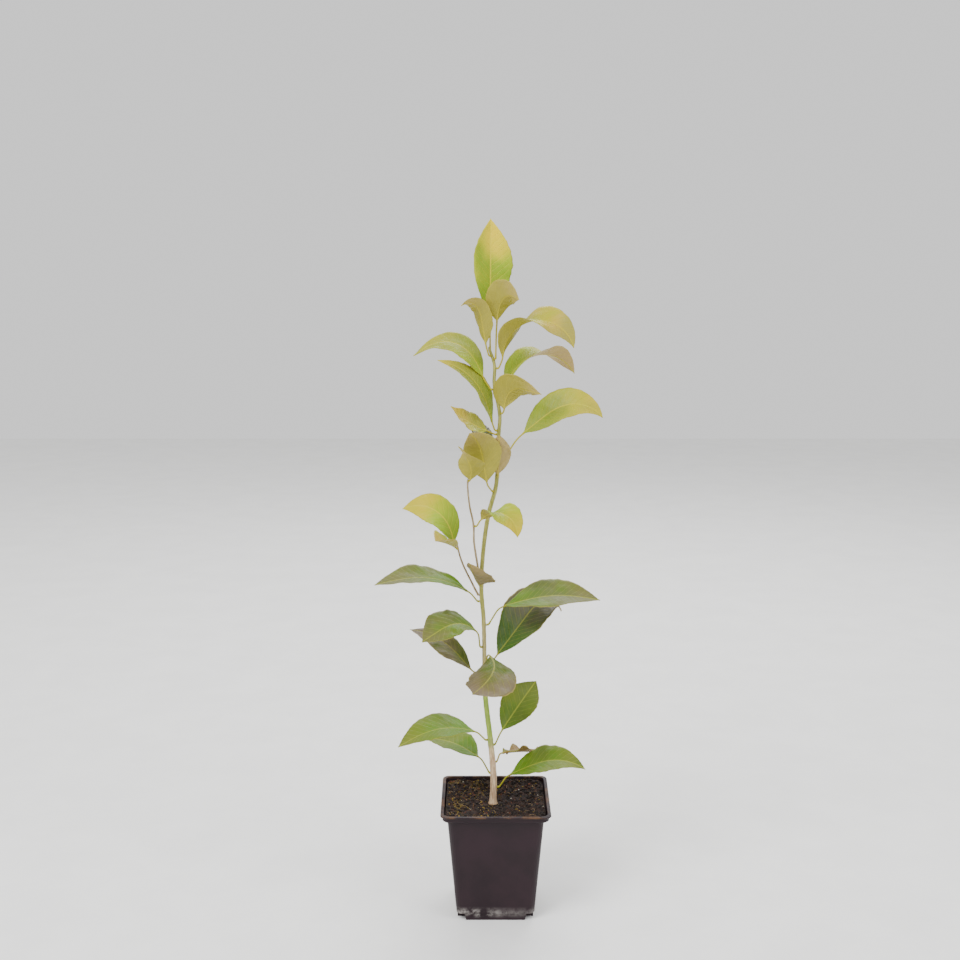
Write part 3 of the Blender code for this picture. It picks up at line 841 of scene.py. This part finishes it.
def leaf_path(leaf, limb):
    """Frames along the petiole and along the blade: place, left, upper."""
    centre, radius = limb_at(limb, leaf.height)
    outward = heading_vectors(leaf.heading, 0.0)[0]
    place = centre + outward * (radius + GAP * MM)
    petiole, blade = [], []
    step = leaf.petiole * MM / TURTLE_STEPS
    for k in range(TURTLE_STEPS + 1):
        s = k / TURTLE_STEPS
        rise = leaf.petiole_rise * smooth(s * leaf.petiole / PETIOLE_CROOK)
        rise += (leaf.rise - leaf.petiole_rise) * smooth((s - PETIOLE_TURN) / (1 - PETIOLE_TURN))
        forward, left, upper = heading_vectors(leaf.heading, rise)
        petiole.append((place, *turned(left, upper, leaf.roll * s)))
        place = place + forward * step
    step = leaf.length * MM / TURTLE_STEPS
    for k in range(TURTLE_STEPS + 1):
        t = k / TURTLE_STEPS
        rise = leaf.rise - leaf.droop * bend_share(leaf, t)
        forward, left, upper = heading_vectors(leaf.heading + leaf.sweep * t, rise)
        twisted = leaf.twist * smooth((t - leaf.twist_at) / TWIST_SPAN + 0.5)
        blade.append((place, *turned(left, upper, leaf.roll + twisted)))
        place = place + forward * step
    return petiole, blade


def frame_at(path, share):
    """The path's frame nearest to a share of its length."""
    return path[round(share * TURTLE_STEPS)]


def half_width(leaf, t):
    """Half the blade's width at t, in millimetres."""
    if t < leaf.belly:
        shape = math.sin(math.pi / 2 * t / leaf.belly) ** BLUNT_BASE
    else:
        shape = math.sin(math.pi / 2 * (1 - t) / (1 - leaf.belly))
    return max(leaf.width / 2 * shape, TIP_HALF)


def edge_line(leaf, t, u):
    """How the margin wanders in and out on its way, with small teeth, as a share of the half width."""
    seed = leaf.height * MARGIN_SEED + (OTHER_MARGIN if u > 0 else 0.0)
    wander = sum(reach * noise.noise(Vector((t * rate, seed, at))) for rate, reach, at in WANDER)
    teeth = TOOTH_DEEP * math.sin(t * TEETH + leaf.height)
    return 1.0 - TOOTH_DEEP + (wander + teeth) * math.sin(math.pi * t)


def across_blade(leaf, t, u):
    """Sideways and upward offset of a point u of the way to the edge, in millimetres."""
    half = leaf.sides[0] if u > 0 else leaf.sides[1]
    wide = half_width(leaf, t) * abs(u) * half * edge_line(leaf, t, u)
    begin = math.radians(leaf.fold[0] if u > 0 else leaf.fold[1])
    out, up = wide * math.cos(begin), wide * math.sin(begin)
    phase = 2 * math.pi * leaf.waves * t + (0.0 if u > 0 else WAVE_SHIFT)
    up += leaf.wave * math.sin(phase) * u * u * math.sin(math.pi * t)
    seed = leaf.height * LEAF_SEED
    soft = noise.noise(Vector((t * SOFT_RATE[0] + seed, u * SOFT_RATE[1], seed)))
    spot = Vector((t * CREASE_RATE[0] + seed, u * CREASE_RATE[1], seed + CREASE_SLICE))
    crease = noise.noise(spot)
    # a leaf with more painted sheen gets a more rolled surface
    sheen_share = LOOKS[leaf.name].sheen_share
    full = math.sin(math.pi * min(t * LOOSE_AHEAD, LOOSE_LAST)) ** 0.5
    up += (LOOSE + LOOSE_WITH_SHEEN * sheen_share) * abs(u) * full * (soft + CREASE * crease)
    quilt = math.sin(2 * math.pi * (t * leaf.length - VEIN_SLANT * wide) / VEIN_SPACING)
    up -= QUILT_HIGH * quilt * math.sin(math.pi * abs(u)) * math.sin(math.pi * t)
    return math.copysign(out, u), up


def petiole_ring(petiole, s):
    """A round ring s of the way along the petiole, with its points' marks."""
    place, left, upper = frame_at(petiole, s)
    radius = PETIOLE_FOOT + (PETIOLE_RADIUS - PETIOLE_FOOT) * smooth(s / PETIOLE_TAPER)
    points, marks = [], []
    for j in range(2 * len(COLUMNS)):
        turn = math.pi * (j + 0.5) / len(COLUMNS)
        points.append(place + (left * math.cos(turn) + upper * math.sin(turn)) * radius * MM)
        marks.append((1.0 if j < len(COLUMNS) else 0.0, s - 1.0, 0.0, 0.0, 0.0))
    return points, marks


def blade_ring(leaf, blade, t):
    """A ring over the blade and back under it at t, with its points' marks."""
    place, left, upper = frame_at(blade, t)
    closed = 1.0 - smooth(t / BLADE_OPEN)
    top, under = [], []
    for u in COLUMNS:
        out, up = across_blade(leaf, t, u)
        thick = BLADE_THICK / 2 * (1.0 - EDGE_THINNING * abs(u) ** 3)
        thick += closed * PETIOLE_RADIUS * math.sqrt(max(0.0, 1.0 - u * u))
        rib = max(0.0, 1.0 - abs(out) / RIB_WIDE) * (1.0 - RIB_TAPER * t)
        middle = place + left * (out * MM) + upper * (up * MM)
        top.append(middle + upper * ((thick - RIB_SUNK * rib) * MM))
        under.append(middle - upper * ((thick + RIB_DEEP * rib) * MM))
    marks = []
    for side, columns in ((1.0, COLUMNS), (0.0, COLUMNS[::-1])):
        for u in columns:
            marks.append((side, t, half_width(leaf, t) * u, abs(u), t * leaf.length))
    return top + under[::-1], marks


def make_leaf(leaf, limb, number):
    """A closed leaf: a round petiole that opens into a thin, veined blade."""
    petiole, blade = leaf_path(leaf, limb)
    made = [petiole_ring(petiole, k / PETIOLE_RINGS) for k in range(PETIOLE_RINGS)]
    for k in range(BLADE_RINGS + 1):
        made.append(blade_ring(leaf, blade, BLADE_START + (1 - BLADE_START) * k / BLADE_RINGS))
    bm = bmesh.new()
    join_rings(bm, [points for points, _ in made])
    bmesh.ops.recalc_face_normals(bm, faces=bm.faces)
    material = leaf_material(leaf.name + "_skin", LOOKS[leaf.name], number)
    piece = new_piece(leaf.name + "_fine", bm, material)
    marks = [mark for _, ring in made for mark in ring]
    for name, values in zip(MARKS, zip(*marks)):
        layer = piece.data.attributes.new(name, "FLOAT", "POINT")
        layer.data.foreach_set("value", values)
    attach(piece, "root")
    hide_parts(leaf.name)


def limb_ring(limb, height, feet):
    """The limb's outline at a height: bark relief, and a swelling at each petiole's foot."""
    low, high = limb.stations[0][0], limb.stations[-1][0]
    centre, radius = limb_at(limb, height)
    below = limb_at(limb, max(height - LIMB_STEP, low))[0]
    above = limb_at(limb, min(height + LIMB_STEP, high))[0]
    axis = Vector((0, 0, 1)) if height == low else (above - below).normalized()
    side = axis.cross(Vector((0, 1, 0))).normalized()
    other = axis.cross(side)
    swell = sum(NODE_SWELL * (1 - smooth(abs(height - foot) / NODE_SPAN)) for foot in feet)
    old = 1.0 + OLD_BARK_MORE * smooth((OLD_BARK - height) / OLD_BARK_SPAN)
    tip = 1.0 - smooth((height - high + TIP_SPAN) / TIP_SPAN) * TIP_SHRINK
    ring = []
    for k in range(LIMB_SIDES):
        turn = 2 * math.pi * k / LIMB_SIDES
        around = side * math.cos(turn) + other * math.sin(turn)
        spot = Vector((around.x * BARK_LUMPS, around.y * BARK_LUMPS, height * BARK_STRETCH))
        crack = noise.fractal(spot, *BARK_FRACTAL)
        relief = swell + crack * BARK_RELIEF * old - BARK_INSET
        ring.append(centre + around * (radius * tip + relief * MM))
    return ring


def make_limb(limb, woody):
    """A limb's bark from end to end."""
    low, high = limb.stations[0][0], limb.stations[-1][0]
    feet = [leaf.height for leaf in LEAVES if leaf.limb == limb.name]
    count = int((high - low) / LIMB_STEP)
    bm = bmesh.new()
    join_rings(bm, [limb_ring(limb, low + (high - low) * i / count, feet) for i in range(count + 1)])
    bmesh.ops.recalc_face_normals(bm, faces=bm.faces)
    piece = new_piece(limb.name + "_bark", bm, bark_material(limb.name + "_bark", woody))
    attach(piece, "root")
    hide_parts(limb.name)


def soil_height(x, y):
    """Height of the soil's solid, in millimetres: level under the stem, heaped at the front left."""
    stem = STEM.stations[0]
    away = math.hypot(x - stem[1], y - stem[2])
    along_x = math.sin(SOIL_WAVE_X[0] * x + SOIL_WAVE_X[1])
    along_y = math.cos(SOIL_WAVE_Y[0] * y + SOIL_WAVE_Y[1])
    rough = SOIL_ROUGH * along_x * along_y
    left = smooth((-x - HEAP_LEFT[0]) / HEAP_LEFT[1])
    heap = SOIL_HEAP * left * smooth((HEAP_FRONT[0] - y) / HEAP_FRONT[1])
    out = smooth((max(abs(x), abs(y)) - SOIL_FLAT_HALF) / SOIL_BANK)
    open_soil = SOIL_LEVEL + rough + heap + (SOIL_EDGE - SOIL_LEVEL) * out
    near = 1.0 - smooth((away - SOIL_STEM_FLAT) / SOIL_STEM_SPAN)
    return open_soil + (SOIL_AT_STEM - open_soil) * near


def soil_top(x, y):
    """The uneven surface as shown, in millimetres."""
    lumps = noise.fractal(Vector((x * LUMP_RATE, y * LUMP_RATE, LUMP_SLICE)), *LUMP_FRACTAL)
    clods = noise.noise(Vector((x * CLOD_RATE, y * CLOD_RATE, CLOD_SLICE)))
    return soil_height(x, y) + LUMP_HIGH * lumps + CLOD_HIGH * clods


def in_pot(u, v, half):
    """A place on the unit square, moved inside the pot's rounded corners, in millimetres."""
    keep = 1 - CORNER / half
    cu, cv = abs(u) - keep, abs(v) - keep
    if cu > 0 and cv > 0:
        reach, most = math.hypot(cu, cv), max(cu, cv)
        u = math.copysign(keep + cu * most / reach, u)
        v = math.copysign(keep + cv * most / reach, v)
    return u * half, v * half


def on_soil(px, py):
    """The place on the soil, in millimetres, that shows at a pixel of the photograph."""
    focal = LENS / SENSOR * PHOTO_PIXELS
    middle = PHOTO_PIXELS / 2
    down = math.radians(CAMERA_DOWN)
    right, up = (px - middle) / focal, (middle - py) / focal
    ahead = math.cos(down) + up * math.sin(down)
    ray = Vector((right, ahead, up * math.cos(down) - math.sin(down)))
    spot = Vector(CAMERA_AT) + ray * ((SOIL_LEVEL * MM - CAMERA_AT[2]) / ray.z)
    return spot.x / MM, spot.y / MM


def make_soil():
    """The soil bed: a fine uneven grid on a plain body."""
    half = RIM_HALF - WALL - GAP - SOIL_MARGIN
    n = SOIL_CELLS
    bm = bmesh.new()
    top, low = {}, {}
    for i in range(n + 1):
        for j in range(n + 1):
            x, y = in_pot(2 * i / n - 1, 2 * j / n - 1, half)
            top[i, j] = bm.verts.new(Vector((x, y, soil_top(x, y))) * MM)
            if i in (0, n) or j in (0, n):
                foot = Vector((x * SOIL_FOOT, y * SOIL_FOOT, SOIL_LEVEL - SOIL_DEEP))
                low[i, j] = bm.verts.new(foot * MM)
    for i in range(n):
        for j in range(n):
            bm.faces.new((top[i, j], top[i + 1, j], top[i + 1, j + 1], top[i, j + 1]))
    border = [(k, 0) for k in range(n)] + [(n, k) for k in range(n)]
    border += [(n - k, n) for k in range(n)] + [(0, n - k) for k in range(n)]
    for here, there in zip(border, border[1:] + border[:1]):
        bm.faces.new((top[here], low[here], low[there], top[there]))
    bm.faces.new([low[key] for key in border][::-1])
    piece = new_piece("soil_bed", bm, soil_material())
    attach(piece, "root")
    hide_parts("soil")


class Crumbs:
    """Many broken lumps that become one piece."""

    def __init__(self, name, dice):
        self.name = name
        self.dice = dice
        self.bm = bmesh.new()
        self.layer = self.bm.verts.layers.float_color.new("crumb_colour")

    def add(self, x, y, height, radius, flat, colour):
        """One lump, in millimetres: an icosphere, turned, stretched, shaded and dented."""
        dice = self.dice
        made = bmesh.ops.create_icosphere(self.bm, subdivisions=1, radius=1.0)["verts"]
        tilts = [dice.uniform(-CRUMB_TILT, CRUMB_TILT) for _ in range(2)]
        turn = Euler((*tilts, dice.uniform(0, CRUMB_TURN))).to_matrix()
        stretch = Vector((dice.uniform(*CRUMB_LONG), dice.uniform(*CRUMB_BROAD), flat))
        own = shaded(seen(*colour), dice.uniform(*CRUMB_SHADES))
        place = Vector((x, y, height)) * MM
        for vert in made:
            local = vert.co * stretch * dice.uniform(*CRUMB_DENTS)
            vert.co = (turn @ local) * radius * MM + place
            vert[self.layer] = own

    def finish(self):
        """Makes the lumps one piece, with the flat faces of broken soil."""
        piece = new_piece(self.name, self.bm, crumb_material(self.name), rounded=False)
        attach(piece, "root")


def add_grain(grains, x, y, colour, small, large, lift):
    """One pale grain that lies on the soil."""
    radius = grains.dice.uniform(small, large)
    grains.add(x, y, soil_top(x, y) + lift, radius, GRAIN_FLAT, colour)


def make_crumbs():
    """Loose bark bits and moss-coloured grit on the soil, then its pale grains."""
    dice = random.Random(CRUMB_SEED)
    half = RIM_HALF - WALL - CRUMB_INSET
    crumbs = Crumbs("soil_crumbs", dice)
    for colour, count, small, large, flat in CRUMBS:
        for _ in range(count):
            x, y = in_pot(dice.uniform(-1, 1), dice.uniform(-1, 1), half)
            if colour[1] > MOSSY and x > MOSSY_RIGHT and dice.random() < MOSSY_MOVED:
                x = -abs(x)
            radius = dice.uniform(small, large)
            crumbs.add(x, y, soil_top(x, y) + radius * flat * CRUMB_LIFT, radius, flat, colour)
    crumbs.finish()
    grains = Crumbs("pale_grains", dice)
    for pixel in GRAIN_PIXELS:
        add_grain(grains, *on_soil(*pixel), *GRAIN)
    for _ in range(GRIT_COUNT):
        x, y = in_pot(dice.uniform(-1, 1), dice.uniform(-1, 1), half)
        add_grain(grains, x, y, *GRIT)
    grains.finish()


def make_rim_dirt():
    """Soil crumbs left on the rim's front edge."""
    dice = random.Random(RIM_CRUMB_SEED)
    crumbs = Crumbs("rim_crumbs", dice)
    for _ in range(RIM_CRUMBS):
        x = dice.uniform(-RIM_CRUMB_HALF, RIM_CRUMB_HALF)
        y = -RIM_HALF + dice.uniform(*RIM_CRUMB_ACROSS)
        share = 1.0 if RIM_THICK_FROM < x < RIM_THICK_TO else RIM_THIN
        radius = dice.uniform(*RIM_CRUMB_RADII) * share
        height = POT_HEIGHT + radius * RIM_CRUMB_LIFT - RIM_CRUMB_SUNK
        crumbs.add(x, y, height, radius, RIM_CRUMB_FLAT, dice.choice(RIM_CRUMB_COLOURS))
    crumbs.finish()


def add_strand(bm, points, radius):
    """A thin closed tube through points, in millimetres, that narrows to its end."""
    rings = []
    for i, point in enumerate(points):
        ahead = points[min(i + 1, len(points) - 1)] - points[max(i - 1, 0)]
        side = ahead.cross(Vector((0, 0, 1))).normalized()
        other = ahead.normalized().cross(side)
        thin = radius * (1.0 - FIBRE_THINNING * i / len(points))
        ring = []
        for k in range(FIBRE_SIDES):
            turn = 2 * math.pi * k / FIBRE_SIDES
            ring.append((point + (side * math.cos(turn) + other * math.sin(turn)) * thin) * MM)
        rings.append(ring)
    join_rings(bm, rings)


def make_fibres():
    """Pale root and straw fibres that lie curled on the soil."""
    dice = random.Random(FIBRE_SEED)
    bm = bmesh.new()
    half = RIM_HALF - WALL - FIBRE_INSET
    most = half + FIBRE_STRAY
    starts = [(*on_soil(*CURL_PIXEL), CURL_LENGTH)]
    for _ in range(FIBRES):
        x, y = in_pot(dice.uniform(-1, 1), dice.uniform(-1, 1), half)
        starts.append((x, y, dice.uniform(*FIBRE_LENGTHS)))
    for x, y, length in starts:
        heading = dice.uniform(0, 2 * math.pi)
        bend = dice.uniform(-FIBRE_BEND, FIBRE_BEND)
        points = []
        for i in range(FIBRE_STEPS + 1):
            share = i / FIBRE_STEPS
            x = min(max(x + math.cos(heading) * length / FIBRE_STEPS, -most), most)
            y = min(max(y + math.sin(heading) * length / FIBRE_STEPS, -most), most)
            heading += bend
            lift = FIBRE_LIFT + FIBRE_ARCH * math.sin(math.pi * share)
            points.append(Vector((x, y, soil_top(x, y) + lift)))
        add_strand(bm, points, dice.uniform(*FIBRE_RADII))
    piece = new_piece("soil_fibres", bm, fibre_material())
    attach(piece, "root")


def make_floor():
    """A wide pale floor."""
    mesh = bpy.data.meshes.new("floor")
    corners = [(x * FLOOR_HALF, y * FLOOR_HALF, 0.0) for x, y in ((-1, -1), (1, -1), (1, 1), (-1, 1))]
    mesh.from_pydata(corners, [], [(0, 1, 2, 3)])
    mesh.materials.append(floor_material())
    floor = put_in_scene(bpy.data.objects.new("floor", mesh))


def make_lights():
    """A white sky and three soft lights, the strongest at the upper left."""
    world = bpy.data.worlds.new("studio")
    world.use_nodes = True
    sky = world.node_tree.nodes["Background"]
    sky.inputs["Color"].default_value = (1.0, 1.0, 1.0, 1.0)
    sky.inputs["Strength"].default_value = 1.0
    bpy.context.scene.world = world
    for place, side, power in LIGHTS:
        light = bpy.data.lights.new("soft_light", "AREA")
        light.size = side
        light.energy = power
        lamp = put_in_scene(bpy.data.objects.new("soft_light", light))
        lamp.location = place
        towards = Vector(LIT_PLACE) - Vector(place)
        lamp.rotation_euler = towards.to_track_quat("-Z", "Y").to_euler()


def make_camera():
    """The camera at the photograph's angle."""
    data = bpy.data.cameras.new("photo_angle")
    data.lens = LENS
    data.sensor_width = SENSOR
    camera = put_in_scene(bpy.data.objects.new("photo_angle", data))
    camera.location = CAMERA_AT
    camera.rotation_euler = (math.radians(90 - CAMERA_DOWN), 0.0, 0.0)
    bpy.context.scene.camera = camera


make_floor()
make_lights()
make_camera()
limbs = {limb.name: limb for limb in (STEM, SHOOT_LEFT, SHOOT_MIDDLE)}
for number, leaf in enumerate(LEAVES):
    make_leaf(leaf, limbs[leaf.limb], number)
for limb in limbs.values():
    make_limb(limb, woody=limb is not STEM)
make_soil()
make_crumbs()
make_fibres()
make_rim_dirt()
plastic = pot_material()
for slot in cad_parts["pot"].material_slots:
    slot.material = plastic
